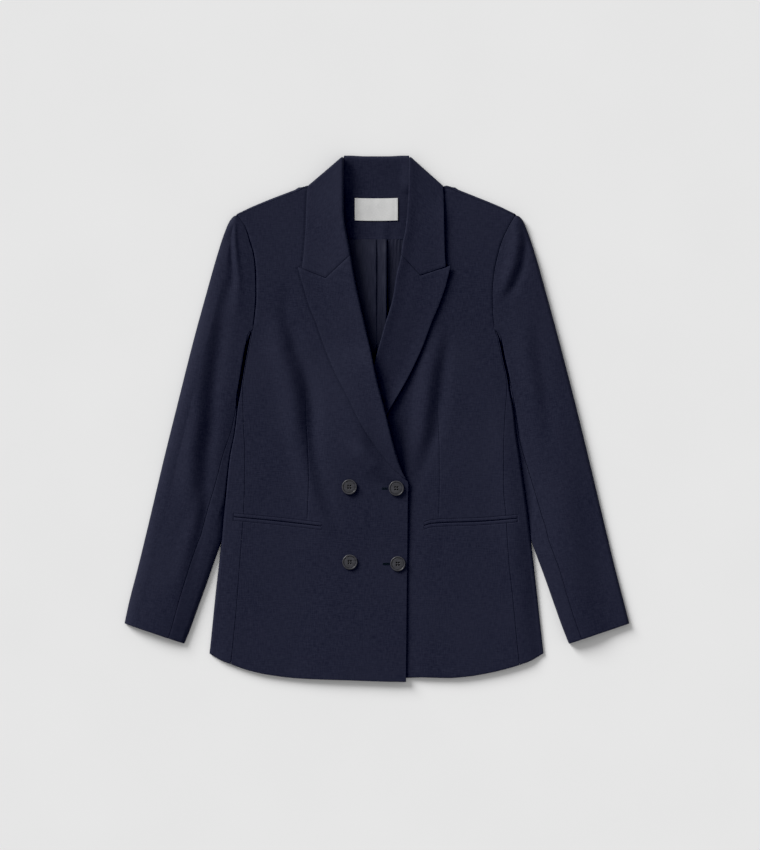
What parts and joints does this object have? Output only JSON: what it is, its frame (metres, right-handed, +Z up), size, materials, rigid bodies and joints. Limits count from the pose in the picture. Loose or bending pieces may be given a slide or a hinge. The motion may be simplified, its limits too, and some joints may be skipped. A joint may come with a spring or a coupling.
{
  "type": "double breasted blazer",
  "caption": "Navy double breasted blazer with peak lapels, laid flat front up, with long sleeves, welt pockets and dark four-hole buttons.",
  "frame": {"origin": "on the surface the garment lies on, under the middle of its bounding box", "axes": "+Z up from the surface through the front, +Y towards the collar, +X towards the wearer's left sleeve"},
  "size_m": [0.6964, 0.7269, 0.0216],
  "materials": {
    "navy_suiting": "fine matt worsted, plain weave",
    "navy_lining": "smooth, softly lustrous",
    "white_satin": "satin label tape",
    "grey_horn": "satin, horn look"
  },
  "bodies": {
    "root": {"back": "navy_suiting", "front_right": "navy_suiting", "front_left": "navy_suiting", "side_panel_right": "navy_suiting", "side_panel_left": "navy_suiting", "top_sleeve_right": "navy_suiting", "top_sleeve_left": "navy_suiting", "under_sleeve_right": "navy_suiting", "under_sleeve_left": "navy_suiting", "lapel_right": "navy_suiting", "lapel_left": "navy_suiting", "collar_fall": "navy_suiting", "collar_stand": "navy_suiting", "neck_facing": "navy_suiting", "welt_upper_right": "navy_suiting", "welt_lower_right": "navy_suiting", "welt_upper_left": "navy_suiting", "welt_lower_left": "navy_suiting", "back_lining": "navy_lining", "label": "white_satin", "button_1": "grey_horn", "button_2": "grey_horn", "button_3": "grey_horn", "button_4": "grey_horn"}
  },
  "joints": []
}
